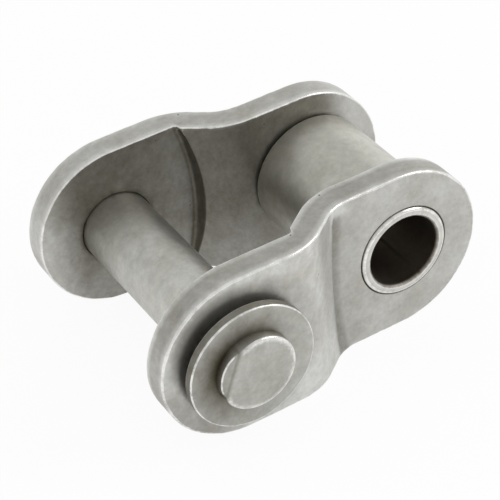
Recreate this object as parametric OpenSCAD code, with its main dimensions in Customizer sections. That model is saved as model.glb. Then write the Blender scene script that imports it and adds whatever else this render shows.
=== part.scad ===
// Offset link of a roller chain: two cranked side plates, a bush with a free roller at the
// narrow end, and a removable pin with a washer and a split pin at the wide end.
// The origin is the middle of the bush bore. +X points from the pin to the bush, +Y runs along
// both axes from the near plate to the far plate, and +Z is up. All sizes are in millimetres.

/* [Link] */
// Distance from the pin axis to the bush axis
pitch = 44.45; // [42:0.05:50]
// Clear width between the plates at the bush
narrow_width = 30.8; // [29:0.1:32]
// Clear width between the plates at the pin
wide_width = 46.9; // [46:0.1:52]

/* [Side plates] */
// Height of a plate, and the diameter of its round ends
plate_height = 38.5; // [35:0.5:42]
// How far the middle of each round end lies inside the axis of its hole
end_inset = 0.85; // [0:0.05:2]
// Thickness of a plate
plate_thickness = 6.3; // [5:0.1:7]
// Slope of the ramp between the two bends, in degrees
crank_angle = 38; // [34:1:40]
// Inside radius of the first bend, beside the pin
first_bend_radius = 9; // [7:0.5:10]
// Inside radius of the second bend, beside the bush
second_bend_radius = 9.5; // [7:0.5:10]
// Distance from the pin axis to the first bend
crank_start = 12.5; // [12:0.1:15]
// Radius of the coined arc that clears the next link
pocket_radius = 55; // [45:1:70]
// How far the middle of that arc reaches past the start of the first bend
pocket_bite = 7.8; // [6:0.1:9]
// Radius of the coined edge on the outside, where the ramp drops to the narrow end
crease_radius = 110; // [80:5:200]
// How far the middle of that edge reaches back past the end of the second bend
crease_bite = 5.8; // [3:0.1:6.5]
// Height of that edge, between its rounded ends
crease_height = 34; // [28:0.5:36]

/* [Bush and roller] */
// Wall of the bush
bush_wall = 2.3; // [2:0.1:3]
// How far each end of the bush stands out of its plate
bush_proud = 0.45; // [0:0.05:1]
// Radius of the rounded mouth of the bush bore
bush_mouth_radius = 0.8; // [0.3:0.1:0.9]
// Radius of the rounded outer rim of each end of the bush
bush_rim_radius = 0.9; // [0.3:0.1:1]
// Outside diameter of the roller
roller_d = 27.94; // [26:0.02:30]
// Radius of the roller's outer edges
roller_edge_radius = 1; // [0.4:0.1:1.5]
// Running clearance between the roller and the bush, on the radius
roller_clearance = 0.06; // [0.02:0.01:0.1]
// Clearance between each end of the roller and its plate
roller_side_clearance = 0.4; // [0.3:0.05:0.8]

/* [Pin] */
// Diameter of the pin, here and in the next link
pin_d = 16.5; // [14:0.05:17]
// Clearance of a pin in its holes and in the bush, on the radius
pin_clearance = 0.05; // [0.02:0.01:0.1]
// How much the spread end of the pin grows, on the radius
pin_spread = 0.25; // [0.2:0.05:1]
// How far the spread end stands out of the washer
pin_end_length = 2.7; // [1.5:0.1:4]
// Radius of the rounded rim of the spread end
pin_rim_radius = 0.7; // [0.3:0.1:1.2]
// Distance from the pin axis to the flat on the spread end
pin_flat_reach = 6.3; // [4:0.1:7]
// Depth of that flat below the end face
pin_flat_depth = 0.7; // [0.4:0.1:1.4]
// Direction of that flat around the pin, in degrees from +X towards +Z
pin_flat_angle = 157; // [90:1:270]
// Length of the far end of the pin past the split pin
pin_tail = 4.2; // [3:0.1:8]
// Chamfer on the far end of the pin
pin_chamfer = 1.2; // [0.5:0.1:2]

/* [Washer] */
// Diameter of the washer
washer_d = 28.5; // [24:0.1:34]
// Thickness of the washer
washer_thickness = 2.2; // [1:0.1:3]
// Radius of the washer's edges
washer_edge_radius = 0.35; // [0.1:0.05:0.45]
// Gap between the washer and the near plate
washer_gap = 1.8; // [1:0.1:4]

/* [Split pin] */
// Diameter of the closed split pin
split_d = 4; // [3:0.1:5]
// Clearance of the split pin in its hole, on the radius
split_clearance = 0.1; // [0.05:0.01:0.15]
// Slit between the two legs
split_slit = 0.3; // [0.2:0.05:0.5]
// Clearance between the split pin and the far plate
split_seat = 0.4; // [0.3:0.05:1]
// Inside radius of the eye
split_eye_radius = 1.8; // [1.2:0.1:2.5]
// Angle to which each leg is spread, in degrees
split_bend_angle = 55; // [20:1:70]
// Inside radius of each spread leg
split_bend_radius = 5; // [3:0.1:8]
// Straight stretch between the pin and the eye or the bends
split_neck = 0.5; // [0.3:0.1:1]

/* [Hidden] */
$fn = 96;
steel_plate = "#b4b4ae";
steel_roller = "#aeaea8";
steel_bush = "#c8c8c4";
steel_pin = "#a9a9a3";
steel_split = "#9c9c98";
// Overlap that lets a cut pass clean through a face
cut = 1;
// Flats in each bend of a plate
bend_steps = 12;
plate_end_radius = plate_height / 2;
narrow_in = narrow_width / 2;
wide_in = wide_width / 2;
narrow_out = narrow_in + plate_thickness;
wide_out = wide_in + plate_thickness;
// The two bends turn by the same angle, so the ramp covers what they leave of the offset
bend_radii = first_bend_radius + second_bend_radius + plate_thickness;
bend_drop = bend_radii * (1 - cos(crank_angle));
ramp_length = (wide_in - narrow_in - bend_drop) / sin(crank_angle);
crank_run = bend_radii * sin(crank_angle) + ramp_length * cos(crank_angle);
crank_end = crank_start + crank_run;
crease_x = crank_end - pitch - crease_bite;
crease_corner = crease_bite / 2;
bush_bore_r = pin_d / 2 + pin_clearance;
bush_r = bush_bore_r + bush_wall;
bush_half = narrow_out + bush_proud;
roller_bore_r = bush_r + roller_clearance;
roller_half = narrow_in - roller_side_clearance;
pin_r = pin_d / 2;
pin_end_r = pin_r + pin_spread;
washer_inner_y = -(wide_out + washer_gap);
washer_outer_y = washer_inner_y - washer_thickness;
pin_end_y = washer_outer_y - pin_end_length;
split_r = split_d / 2;
split_y = wide_out + split_seat + split_r;
pin_far_y = split_y + split_r + pin_tail;
split_eye_x = pin_r + split_neck + split_eye_radius + split_r;

// Rounded rectangle, centred, w across and h high
module rounded_bar(w, h, r) {
  square([w - 2 * r, h], center = true);
  square([w, h - 2 * r], center = true);
  for (x = [-1, 1], y = [-1, 1])
    translate([x * (w / 2 - r), y * (h / 2 - r)]) circle(r);
}

// Half of a rounded disc's section: from the axis out to radius r, t thick, round outer edges
module disc_section(r, t, edge) {
  intersection() {
    rounded_bar(2 * r, t, edge);
    translate([0, -t]) square([r + cut, 2 * t]);
  }
}

// Points on an arc about a centre, from one angle to another
function arc(centre, r, from, to) = [
  for (i = [0 : bend_steps])
    let (a = from + (to - from) * i / bend_steps)
      centre + r * [cos(a), sin(a)]
];

// Section of the +Y plate seen from above: a strip of even thickness, bent in and back again
module plate_profile() {
  first = [crank_start - pitch, wide_in - first_bend_radius];
  second = [crank_end - pitch, narrow_out + second_bend_radius];
  polygon(concat(
    [[-pitch - plate_end_radius, wide_in], [-pitch - plate_end_radius, wide_out]],
    arc(first, first_bend_radius + plate_thickness, 90, 90 - crank_angle),
    arc(second, second_bend_radius, 270 - crank_angle, 270),
    [[plate_end_radius, narrow_out], [plate_end_radius, narrow_in]],
    arc(second, second_bend_radius + plate_thickness, 270, 270 - crank_angle),
    arc(first, first_bend_radius, 90 - crank_angle, 90)
  ));
}

// Side view of a plate: straight edges between two round ends
module plate_outline() {
  translate([end_inset - pitch, -plate_end_radius]) square([pitch - 2 * end_inset, plate_height]);
  for (x = [end_inset - pitch, -end_inset])
    translate([x, 0]) circle(plate_end_radius);
}

// Side view of the coined flat outside the second bend, which ends in a shallow arc on the ramp
module crease_outline() {
  reach = crease_bite + cut;
  intersection() {
    translate([crease_x + crease_radius, 0]) circle(crease_radius);
    translate([crease_x + reach / 2, 0]) rounded_bar(reach, crease_height, crease_corner);
  }
}

// Hole along Y at x
module hole_along_y(x, r, y0, y1) {
  translate([x, y0, 0]) rotate([-90, 0, 0]) cylinder(r = r, h = y1 - y0);
}

// The plate on the +Y side
module cranked_plate() {
  difference() {
    intersection() {
      translate([0, 0, -plate_end_radius]) linear_extrude(plate_height) plate_profile();
      translate([0, wide_out, 0]) rotate([90, 0, 0]) linear_extrude(wide_out - narrow_in) plate_outline();
    }
    hole_along_y(-pitch, pin_r + pin_clearance, wide_in - cut, wide_out + cut);
    hole_along_y(0, bush_r, narrow_in - cut, narrow_out + cut);
    // The coined arc goes down to the level of the wide end and bites into the ramp
    hole_along_y(-pitch + crank_start + pocket_bite - pocket_radius, pocket_radius, 0, wide_in);
    // The coined edge outside goes down to the level of the narrow end
    translate([0, wide_out + cut, 0]) rotate([90, 0, 0])
      linear_extrude(wide_out + cut - narrow_out) crease_outline();
  }
}

module far_plate() {
  color(steel_plate) cranked_plate();
}

module near_plate() {
  color(steel_plate) mirror([0, 1, 0]) cranked_plate();
}

// Turns a section drawn with its radius along X and the part's Y upwards about the part's Y axis
module turned_about_y(x) {
  translate([x, 0, 0]) mirror([0, 1, 0]) rotate([90, 0, 0]) rotate_extrude() children();
}

// What rounding takes off a corner at the origin that points along (sx, sy)
module corner_cut(r, sx, sy) {
  difference() {
    translate([sx > 0 ? -r : -cut, sy > 0 ? -r : -cut]) square(r + cut);
    translate([-sx * r, -sy * r]) circle(r);
  }
}

module bush() {
  color(steel_bush) turned_about_y(0)
    difference() {
      translate([bush_bore_r, -bush_half]) square([bush_wall, 2 * bush_half]);
      for (end = [-1, 1]) {
        translate([bush_bore_r, end * bush_half]) corner_cut(bush_mouth_radius, -1, end);
        translate([bush_r, end * bush_half]) corner_cut(bush_rim_radius, 1, end);
      }
    }
}

module roller() {
  wall = roller_d / 2 - roller_bore_r;
  color(steel_roller) turned_about_y(0)
    intersection() {
      rounded_bar(roller_d, 2 * roller_half, roller_edge_radius);
      translate([roller_bore_r, -roller_half]) square([wall + cut, 2 * roller_half]);
    }
}

module pin_profile() {
  shank_end = pin_far_y - pin_chamfer;
  translate([0, washer_outer_y]) square([pin_r, shank_end - washer_outer_y]);
  polygon([[0, shank_end], [pin_r, shank_end], [pin_r - pin_chamfer, pin_far_y], [0, pin_far_y]]);
  // Spread end, with a rounded rim
  translate([0, pin_end_y]) square([pin_end_r - pin_rim_radius, pin_end_length]);
  translate([0, pin_end_y + pin_rim_radius]) square([pin_end_r, pin_end_length - pin_rim_radius]);
  translate([pin_end_r - pin_rim_radius, pin_end_y + pin_rim_radius]) circle(pin_rim_radius);
}

module pin() {
  flat_size = 2 * pin_end_r;
  color(steel_pin) difference() {
    turned_about_y(-pitch) pin_profile();
    // Flat on one side of the spread end
    translate([-pitch, pin_end_y - cut, 0]) rotate([0, -pin_flat_angle, 0])
      translate([pin_flat_reach, 0, -flat_size / 2]) cube([flat_size, cut + pin_flat_depth, flat_size]);
    // Cross hole for the split pin
    translate([-pitch - pin_r - cut, split_y, 0]) rotate([0, 90, 0])
      cylinder(r = split_r + split_clearance, h = pin_d + 2 * cut);
  }
}

module pin_washer() {
  color(steel_pin) turned_about_y(-pitch)
    translate([0, (washer_inner_y + washer_outer_y) / 2])
      difference() {
        disc_section(washer_d / 2, washer_thickness, washer_edge_radius);
        translate([-cut, -washer_thickness]) square([cut + pin_r, 2 * washer_thickness]);
      }
}

// Section of one leg: the upper half of a round wire, with half of the slit taken off its flat
module split_leg_section() {
  intersection() {
    circle(split_r);
    translate([-split_d, split_slit / 2]) square(2 * split_d);
  }
}

// One leg in the split pin's own frame: along -X through the pin, then curved up
module split_leg() {
  straight = split_eye_x + pin_r + split_neck;
  curve_axis = split_r + split_bend_radius;
  translate([split_eye_x, 0, 0]) rotate([0, -90, 0]) rotate([0, 0, -90])
    linear_extrude(straight) split_leg_section();
  translate([-pin_r - split_neck, 0, curve_axis]) rotate([90, 0, 0])
    rotate_extrude(angle = split_bend_angle, start = -90 - split_bend_angle)
      translate([curve_axis, 0]) rotate([0, 0, 90]) split_leg_section();
}

module split_pin() {
  color(steel_split) translate([-pitch, split_y, 0]) difference() {
    union() {
      split_leg();
      mirror([0, 0, 1]) split_leg();
      // Eye, bent from the same half-round wire
      translate([split_eye_x, 0, 0]) rotate([90, 0, 0]) rotate_extrude()
        intersection() {
          translate([split_eye_radius, 0]) circle(split_r);
          translate([split_eye_radius, -split_d]) square(2 * split_d);
        }
    }
    translate([split_eye_x, split_d, 0]) rotate([90, 0, 0]) cylinder(r = split_eye_radius, h = 2 * split_d);
  }
}

near_plate();
far_plate();
bush();
roller();
pin();
pin_washer();
split_pin();
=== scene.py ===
"""Offset link of a roller chain in tumbled steel, on a white studio floor.

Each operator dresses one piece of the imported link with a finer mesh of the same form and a
procedural steel. The frame's own axes are used: +X from the pin to the bush, +Y from the near
plate to the far plate, +Z up, in metres.
"""

import math

import bmesh
import bpy
from bpy.props import FloatProperty, FloatVectorProperty, PointerProperty
from bpy.types import Operator, Panel, PropertyGroup
from mathutils import Matrix, Vector, noise
from mathutils.geometry import delaunay_2d_cdt


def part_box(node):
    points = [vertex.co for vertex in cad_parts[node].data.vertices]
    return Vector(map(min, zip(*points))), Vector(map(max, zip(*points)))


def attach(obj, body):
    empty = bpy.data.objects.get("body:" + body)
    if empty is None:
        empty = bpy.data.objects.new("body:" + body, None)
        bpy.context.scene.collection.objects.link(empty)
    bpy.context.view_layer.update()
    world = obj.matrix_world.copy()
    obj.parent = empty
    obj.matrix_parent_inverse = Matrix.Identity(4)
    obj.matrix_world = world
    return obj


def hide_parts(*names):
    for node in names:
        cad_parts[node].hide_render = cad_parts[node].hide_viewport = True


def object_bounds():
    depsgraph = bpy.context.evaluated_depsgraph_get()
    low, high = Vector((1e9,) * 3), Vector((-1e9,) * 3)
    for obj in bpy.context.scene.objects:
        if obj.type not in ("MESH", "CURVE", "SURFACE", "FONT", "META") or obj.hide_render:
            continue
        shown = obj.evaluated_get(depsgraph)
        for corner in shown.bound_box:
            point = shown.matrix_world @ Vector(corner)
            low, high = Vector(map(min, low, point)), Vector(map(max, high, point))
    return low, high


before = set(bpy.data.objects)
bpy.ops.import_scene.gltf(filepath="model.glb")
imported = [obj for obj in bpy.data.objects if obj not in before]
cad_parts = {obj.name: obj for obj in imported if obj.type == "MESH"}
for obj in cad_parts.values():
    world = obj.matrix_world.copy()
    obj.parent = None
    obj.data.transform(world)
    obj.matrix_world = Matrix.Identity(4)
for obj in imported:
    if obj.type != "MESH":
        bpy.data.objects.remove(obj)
CAD_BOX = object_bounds()

bl_info = {
    "name": "Offset Link",
    "version": (1, 0, 0),
    "blender": (4, 5, 0),
    "location": "View3D > Sidebar > Offset Link",
    "description": "Dresses the offset link of a roller chain with fine meshes and steel finishes",
    "category": "Object",
}

MM = 0.001
# Vertices closer than this are one vertex
WELD = 0.002 * MM

# Steps round a full turn, along a rounded edge, and between neighbouring points of a face
TURN_STEPS = 240
EDGE_STEPS = 6
FACE_SPACING = 1.5 * MM
# Angles at the steps of an edge that is rounded by a quarter turn
EDGE_TURNS = [math.pi / 2 * i / EDGE_STEPS for i in range(EDGE_STEPS + 1)]
# Steps along each bend of a plate, along each straight stretch of its outline, and across its face
BEND_STEPS = 16
STRAIGHT_STEPS = 20
LINE_STEPS = 60

# Names of the two marks on the vertices: wear with a painted highlight, and dirt with painted shade
WEAR_AND_HIGHLIGHT = "wear_and_highlight"
GRIME_AND_SHADE = "grime_and_shade"
# Curvature, per metre, at which a convex edge starts to shine and is fully burnished, both as wear and as a
# painted highlight
WEAR_AND_HIGHLIGHT_FROM = 0.25 / MM
WEAR_AND_HIGHLIGHT_FULL = 1.1 / MM

# Width of the dents that tumbling leaves, and the spacing of the cells that small pits lie in: both
# are drawn coarser than the real ones, so that they show
DENT_SIZE = 2.2 * MM
PIT_SPACING = 4 * MM
# Share of those cells that hold no pit, and where in a cell the pit's bottom and its rim lie
PITLESS = 0.68
PIT_BOTTOM = 0.03
PIT_RIM = 0.07

# Power with which a coined floor curves up into its wall
COINED_STEEPNESS = 4
# Where arcs of vertices follow a coined edge, from the start of its fillet, 0, to the top of its wall, 1
COINED_ARCS = (-1, -0.4, 0, 0.3, 0.5, 0.65, 0.75, 0.83, 0.9, 0.95, 1, 1.08)
# Height over which the crease fades out, and how far inside its ends its arcs of vertices stop
CREASE_RUN = 3 * MM
CREASE_MARGIN = 4 * MM
# How much the radius of a plate's edge varies, and over what length, in long waves and in short ones
UNEVENNESS = ((0.3, 4 * MM), (0.25, 1.5 * MM))
# Distance along Y between the middle and where that is read, so that the two plates differ
UNEVEN_Y = 7 * MM

# How far before the washer the nicks in the pin's end run out
NICK_END = 0.02 * MM

# Share of plain white in the floor, as seen by the camera and as mirrored in the steel
FLOOR_SEEN = 0.93
FLOOR_MIRRORED = 0.55


def linear(hex_colour):
    """Linear red, green and blue of an sRGB hex colour."""
    channels = [int(hex_colour[i:i + 2], 16) / 255 for i in (0, 2, 4)]
    return tuple(c / 12.92 if c <= 0.04045 else ((c + 0.055) / 1.055) ** 2.4 for c in channels)


def length(name, description, default):
    """A size in metres that the user may change."""
    return FloatProperty(name=name, description=description, default=default, unit="LENGTH", precision=5)


def rotation(name, description, degrees):
    """An angle that the user may change."""
    return FloatProperty(name=name, description=description, default=math.radians(degrees), unit="ROTATION")


def position(name, description, default):
    """A place in metres that the user may change."""
    return FloatVectorProperty(
        name=name, description=description, default=default, size=3, subtype="TRANSLATION", unit="LENGTH")


def colour(name, description, hex_colour):
    """A colour that the user may change."""
    return FloatVectorProperty(
        name=name, description=description, default=linear(hex_colour),
        size=3, min=0, max=1, subtype="COLOR")


class PlateSizes(PropertyGroup):
    """Sizes of the two cranked side plates"""
    thickness: length("Thickness", "Thickness of a side plate", 6.3 * MM)
    crank_angle: rotation("Crank angle", "Slope of the ramp between the two bends", 38)
    first_bend: length("First bend", "Inside radius of the bend beside the pin", 9 * MM)
    second_bend: length("Second bend", "Inside radius of the bend beside the bush", 9.5 * MM)
    crank_start: length("Crank start", "Distance from the pin axis to the first bend", 12.5 * MM)
    pocket_radius: length("Pocket radius", "Radius of the coined arc that clears the next link", 55 * MM)
    pocket_bite: length("Pocket bite", "How far that arc reaches past the first bend", 7.8 * MM)
    pocket_fillet: length("Pocket fillet", "Run over which the pocket's floor curves up", 1.2 * MM)
    crease_radius: length("Crease radius", "Radius of the coined edge outside the second bend", 110 * MM)
    crease_bite: length("Crease bite", "How far that edge reaches back past the second bend", 5.8 * MM)
    crease_fillet: length("Crease fillet", "Run over which the floor beside that edge curves up", 1.6 * MM)
    crease_fade: length("Crease fade", "Height above and below the axes at which that edge ends", 17.5 * MM)
    coining_lean: rotation("Coining lean", "How far both coined edges lean from square", 1.5)
    edge_radius: length("Edge radius", "Radius of the tumbled edges round the outer face", 0.5 * MM)
    inner_edge_radius: length("Inner edge radius", "Radius of the edges round the inner face", 0.35 * MM)
    hole_lip: length("Hole lip", "Radius of the edge of each hole", 0.3 * MM)
    pin_clearance: length("Pin clearance", "Clearance of the pin in its holes", 0.05 * MM)


class TurnedSizes(PropertyGroup):
    """Sizes of the bush, the roller and the washer"""
    bush_wall: length("Bush wall", "Wall of the bush", 2.3 * MM)
    bush_mouth: length("Bush mouth", "Radius of the rounded mouth of the bore", 0.8 * MM)
    seam_angle: rotation("Seam angle", "Where the seam of the rolled bush lies, from +X towards +Z", -64)
    seam_depth: length("Seam depth", "Depth of that seam", 0.1 * MM)
    bush_rim: length("Bush rim", "Radius of the outer edge of the bush", 0.9 * MM)
    roller_clearance: length("Roller clearance", "Clearance between the roller and the bush", 0.06 * MM)
    roller_edge: length("Roller edge", "Radius of the roller's outer edges", 1 * MM)
    roller_bore_edge: length("Roller bore edge", "Radius of the edges of the roller's bore", 0.4 * MM)
    washer_edge: length("Washer edge", "Radius of the washer's edges", 0.35 * MM)
    washer_bore_edge: length("Washer bore edge", "Radius of the edges of the washer's bore", 0.15 * MM)


class PinSizes(PropertyGroup):
    """Sizes of the pin"""
    radius: length("Radius", "Radius of the pin", 8.25 * MM)
    rim: length("Rim", "Radius of the rounded rim of the spread end", 0.7 * MM)
    dome: length("Dome", "How far the middle of the end face stands above its rim", 0.12 * MM)
    flat_reach: length("Flat reach", "Distance from the pin axis to the flat", 6.3 * MM)
    flat_depth: length("Flat depth", "Depth of the flat below the end face", 0.7 * MM)
    flat_wall: length("Flat wall", "Run over which the wall of the flat falls", 0.5 * MM)
    flat_rim: length("Flat rim", "Radius of the rim along the flat", 0.25 * MM)
    flat_angle: rotation("Flat angle", "Direction of the flat, from +X towards +Z", 157)
    upper_nick: length("Upper nick", "How far the rim is drawn in above the flat", 0.5 * MM)
    lower_nick: length("Lower nick", "How far the rim is drawn in below the flat", 0.3 * MM)
    chamfer: length("Chamfer", "Chamfer on the far end", 1.2 * MM)


class SplitPinSizes(PropertyGroup):
    """Sizes of the split pin"""
    radius: length("Radius", "Radius of the closed split pin", 2 * MM)
    slit: length("Slit", "Slit between the two legs", 0.3 * MM)
    corner: length("Corner", "Radius of the corners of the half-round wire", 0.25 * MM)
    eye_radius: length("Eye radius", "Inside radius of the eye", 1.8 * MM)
    neck_radius: length("Neck radius", "Radius of the curve from each leg into the eye", 2.2 * MM)
    bend_angle: rotation("Bend angle", "Angle to which each leg is spread", 55)
    bend_radius: length("Bend radius", "Inside radius of each spread leg", 5 * MM)
    neck: length("Neck", "Straight stretch between the pin and the bends", 0.5 * MM)


class SteelColours(PropertyGroup):
    """Colours of the steels, and of what lies on them"""
    plate: colour("Plate", "Tumbled steel of the side plates", "e3e3e0")
    stain: colour("Stain", "Thin oil stain on the steel", "8c8262")
    # Oily dirt, and the colour of painted shade in corners, creases, grooves and round the pin and washer
    dirt_and_shade: colour("Dirt", "Oily dirt left in corners", "5a5443")
    # Burnished edges, painted brighter than the steel as a highlight along them
    worn_and_highlit: colour("Worn edge", "Edges burnished by tumbling", "f6f5f2")
    roller: colour("Roller", "Tumbled steel of the roller", "cac9c1")
    bush: colour("Bush", "Burnished steel of the bush", "dbdad4")
    # The bore's steel, darkened as painted shade deep in the bore
    bore: colour("Bore", "Oil-blackened bore of the bush", "756d63")
    pin: colour("Pin", "Tumbled steel of the pin", "e4e4df")
    washer: colour("Washer", "Stamped steel of the washer", "c8c8c3")
    split_pin: colour("Split pin", "Drawn steel wire of the split pin", "b4b3ad")


class StageLook(PropertyGroup):
    """Floor, light and camera"""
    floor: colour("Floor", "Colour of the floor", "ffffff")
    surroundings: colour("Surroundings", "Soft light of the room", "dededd")
    key_power: FloatProperty(
        name="Key power", description="Power of the soft lamp on the right", default=2.4, unit="POWER")
    key_place: position("Key place", "Where that lamp hangs", (0.75, -0.45, 0.55))
    back_power: FloatProperty(
        name="Back power", description="Power of the low soft lamp behind", default=0.3, unit="POWER")
    back_place: position("Back place", "Where that lamp hangs", (0.6, 0.3, 0.2))
    lamp_size: length("Lamp size", "Width of both soft lamps", 0.5)
    camera_place: position(
        "Camera place", "Where the camera stands", (-167.28 * MM, -274.02 * MM, 241.57 * MM))
    camera_azimuth: rotation(
        "Camera azimuth", "Turn of the camera about the link, from the -Y side towards +X", -27.464)
    camera_elevation: rotation("Camera elevation", "Height of the camera above the horizon", 38.207)
    camera_roll: rotation("Camera roll", "Turn of the camera about its own line of sight", -6.234)
    lens: FloatProperty(name="Lens", description="Focal length", default=132.205, unit="CAMERA")


# Shared mesh work

def smooth(low, high, value):
    """0 below low, 1 above high, and a smooth step between."""
    t = min(1.0, max(0.0, (value - low) / (high - low)))
    return t * t * (3 - 2 * t)


def round_node(node):
    """Middle along X and radius of a round CAD node."""
    low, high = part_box(node)
    return (low.x + high.x) / 2, (high.x - low.x) / 2


def skin(bm, rows, closed_rows=False):
    """Quads between neighbouring closed loops of points."""
    made = [[bm.verts.new(point) for point in row] for row in rows]
    if closed_rows:
        made.append(made[0])
    for row, after in zip(made, made[1:]):
        for i in range(len(row)):
            j = (i + 1) % len(row)
            bm.faces.new((row[i], row[j], after[j], after[i]))
    return made


def face_over(bm, outline, holes, creases, points, lift):
    """Triangles over an outline with holes, with edges along the creases, raised by lift."""
    flat, edges, areas = [], [], []
    for loop in [outline, *holes]:
        areas.append(list(range(len(flat), len(flat) + len(loop))))
        flat.extend(Vector(p) for p in loop)
    for line in creases:
        start = len(flat)
        flat.extend(Vector(p) for p in line)
        edges.extend((i, i + 1) for i in range(start, len(flat) - 1))
    flat.extend(Vector(p) for p in points)
    found, _, triangles, _, _, owners = delaunay_2d_cdt(flat, edges, areas, 0, WELD / 4)
    verts = [bm.verts.new(lift(p.x, p.y)) for p in found]
    for triangle, areas_there in zip(triangles, owners):
        # The outline is area 0, and a triangle in a hole lies in that hole's area as well
        if list(areas_there) == [0]:
            bm.faces.new([verts[i] for i in triangle])
    for vert in [v for v in verts if not v.link_faces]:
        bm.verts.remove(vert)


def circle(x, radius):
    """Points on a circle about the Y axis at x, as (x, z)."""
    turns = [2 * math.pi * i / TURN_STEPS for i in range(TURN_STEPS)]
    return [(x + radius * math.cos(a), radius * math.sin(a)) for a in turns]


def turned(x, profile):
    """Loops about the Y axis at x, one for each (radius, y) of a profile."""
    return [[Vector((px, y, pz)) for px, pz in circle(x, radius)] for radius, y in profile]


def rounded(corners):
    """A closed profile of (radius, y) points, from corners that each have an edge radius."""
    profile = []
    for before, corner, after in zip(corners[-1:] + corners, corners, corners[1:] + corners[:1]):
        point = Vector(corner[:2])
        back = (Vector(before[:2]) - point).normalized()
        ahead = (Vector(after[:2]) - point).normalized()
        half = back.angle(ahead) / 2
        centre = point + (back + ahead).normalized() * corner[2] / math.sin(half)
        arm = point + back * corner[2] / math.tan(half) - centre
        sweep = math.copysign(math.pi - 2 * half, back.cross(ahead))
        for i in range(EDGE_STEPS + 1):
            turn = Matrix.Rotation(-sweep * i / EDGE_STEPS, 2)
            profile.append(centre + turn @ arm)
    return profile


def tube(node, bore, bore_edge, rim_edge):
    """Mesh of a tube as wide and as long as a CAD node, with rounded edges at its bore and its rim."""
    low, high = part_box(node)
    middle, radius = round_node(node)
    corners = [
        (bore, low.y, bore_edge),
        (radius, low.y, rim_edge),
        (radius, high.y, rim_edge),
        (bore, high.y, bore_edge),
    ]
    bm = bmesh.new()
    skin(bm, turned(middle, rounded(corners)), closed_rows=True)
    return bm


def mark_wear_and_highlight(bm, rubbed):
    """Marks how burnished and how painted bright as a highlight each vertex is: where the surface turns
    outwards sharply and is rubbed.
    """
    layer = bm.verts.layers.float.new(WEAR_AND_HIGHLIGHT)
    for edge in bm.edges:
        if len(edge.link_faces) != 2:
            continue
        first, second = edge.link_faces
        reach = (first.calc_center_median() - second.calc_center_median()).length
        bend = edge.calc_face_angle_signed(0) / max(reach, WELD)
        share = smooth(WEAR_AND_HIGHLIGHT_FROM, WEAR_AND_HIGHLIGHT_FULL, bend)
        for vert in edge.verts:
            vert[layer] = max(vert[layer], share * rubbed(vert.co))


def mark_grime_and_shade(bm, amount):
    """Marks how much dirt and painted shade each vertex holds, from a function of its place."""
    layer = bm.verts.layers.float.new(GRIME_AND_SHADE)
    for vert in bm.verts:
        vert[layer] = amount(vert.co)


def nowhere(place):
    """None at any place."""
    return 0.0


def everywhere(place):
    """In full at every place."""
    return 1.0


def add_piece(name, bm, node, body, slot, *materials, grime_and_shade=nowhere, rubbed=everywhere):
    """Turns a finished mesh into a piece that stands for a CAD node and rides on its body."""
    bmesh.ops.remove_doubles(bm, verts=bm.verts, dist=WELD)
    bmesh.ops.recalc_face_normals(bm, faces=bm.faces)
    mark_grime_and_shade(bm, grime_and_shade)
    mark_wear_and_highlight(bm, rubbed)
    for face in bm.faces:
        face.smooth = True
    mesh = bpy.data.meshes.new(name)
    bm.to_mesh(mesh)
    bm.free()
    for material in materials:
        mesh.materials.append(material)
    piece = bpy.data.objects.new(name, mesh)
    bpy.context.scene.collection.objects.link(piece)
    # Large flat faces keep their own direction, and only the rounded edges between them turn
    piece.modifiers.new("true_flats", "WEIGHTED_NORMAL").weight = 100
    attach(piece, body)
    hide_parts(node)


# Steel finishes

def add_node(tree, kind, inputs=None, **settings):
    """Adds a node, sets its settings, and sets or links its inputs."""
    node = tree.nodes.new(kind)
    for key, value in settings.items():
        setattr(node, key, value)
    for key, value in (inputs or {}).items():
        if isinstance(value, bpy.types.NodeSocket):
            tree.links.new(value, node.inputs[key])
        else:
            node.inputs[key].default_value = value
    return node


def small_pits(tree, place):
    """Where small pits lie: in the middle of some of the cells of a pattern."""
    cells = add_node(tree, "ShaderNodeTexVoronoi", {"Vector": place, "Scale": 1 / PIT_SPACING}).outputs
    chosen = add_node(tree, "ShaderNodeMath", {
        0: cells["Color"], 1: PITLESS}, operation="GREATER_THAN").outputs[0]
    near = add_node(tree, "ShaderNodeMapRange", {
        "Value": cells["Distance"], "From Min": PIT_BOTTOM, "From Max": PIT_RIM,
        "To Min": 1.0, "To Max": 0.0}).outputs["Result"]
    return add_node(tree, "ShaderNodeMath", {0: chosen, 1: near}, operation="MULTIPLY").outputs[0]


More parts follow.
